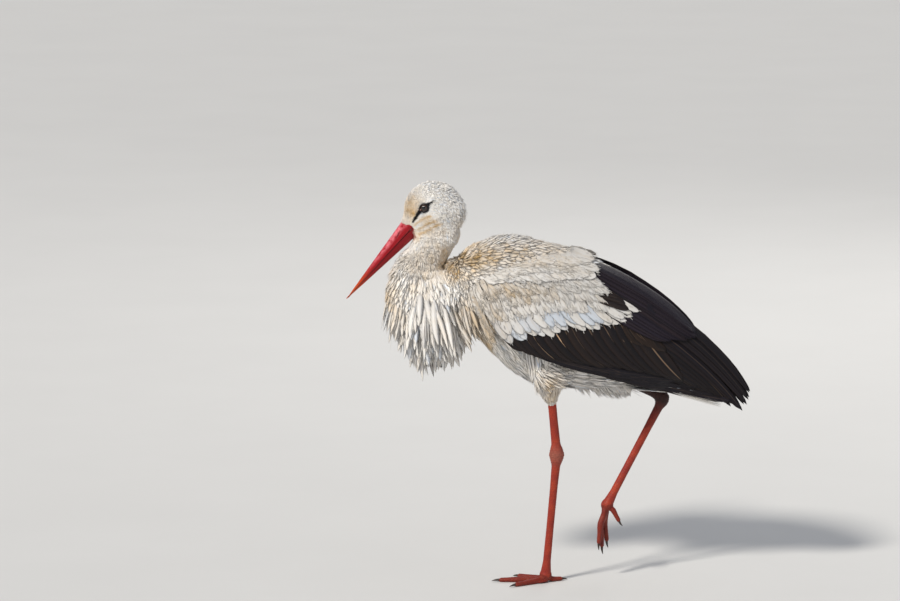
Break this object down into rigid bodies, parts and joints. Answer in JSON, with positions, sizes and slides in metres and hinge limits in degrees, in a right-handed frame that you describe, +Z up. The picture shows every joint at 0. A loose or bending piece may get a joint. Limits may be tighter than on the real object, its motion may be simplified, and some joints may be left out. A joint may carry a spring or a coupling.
{
  "type": "white stork",
  "caption": "White stork standing on one leg in mid step, the other foot lifted, wings folded, bill pointing down.",
  "frame": {"origin": "on the floor under the body's midline, midway between the bill tip and the wing tips", "axes": "-X towards the bill, -Y towards the bird's left side, +Z up"},
  "size_m": [0.7219, 0.1944, 0.729],
  "materials": {
    "plumage": "matte white and cream feathers",
    "flight": "satin black feathers with a faint gloss",
    "horn": "satin red horn",
    "skin": "red scaled skin",
    "eye": "wet gloss",
    "claw": "dark horn"
  },
  "bodies": {
    "root": {"bill_lower": "horn", "bill_upper": "horn", "claw_left_hind": "claw", "claw_left_inner": "claw", "claw_left_middle": "claw", "claw_left_outer": "claw", "claw_right_hind": "claw", "claw_right_inner": "claw", "claw_right_middle": "claw", "claw_right_outer": "claw", "eye_left": "eye", "eye_right": "eye", "foot_left": "skin", "foot_right": "skin", "head": "plumage", "hock_left": "skin", "hock_right": "skin", "neck_lower": "plumage", "neck_upper": "plumage", "shank_left": "skin", "shank_right": "skin", "shin_left": "skin", "shin_right": "skin", "tail": "plumage", "thigh_left": "plumage", "thigh_right": "plumage", "throat_plumes": "plumage", "toe_left_hind": "skin", "toe_left_inner": "skin", "toe_left_middle": "skin", "toe_left_outer": "skin", "toe_right_hind": "skin", "toe_right_inner": "skin", "toe_right_middle": "skin", "toe_right_outer": "skin", "trunk": "plumage", "wing_left_coverts": "plumage", "wing_left_primaries": "flight", "wing_left_secondaries": "flight", "wing_left_tertials": "flight", "wing_right_coverts": "plumage", "wing_right_primaries": "flight", "wing_right_secondaries": "flight", "wing_right_tertials": "flight"}
  },
  "joints": []
}
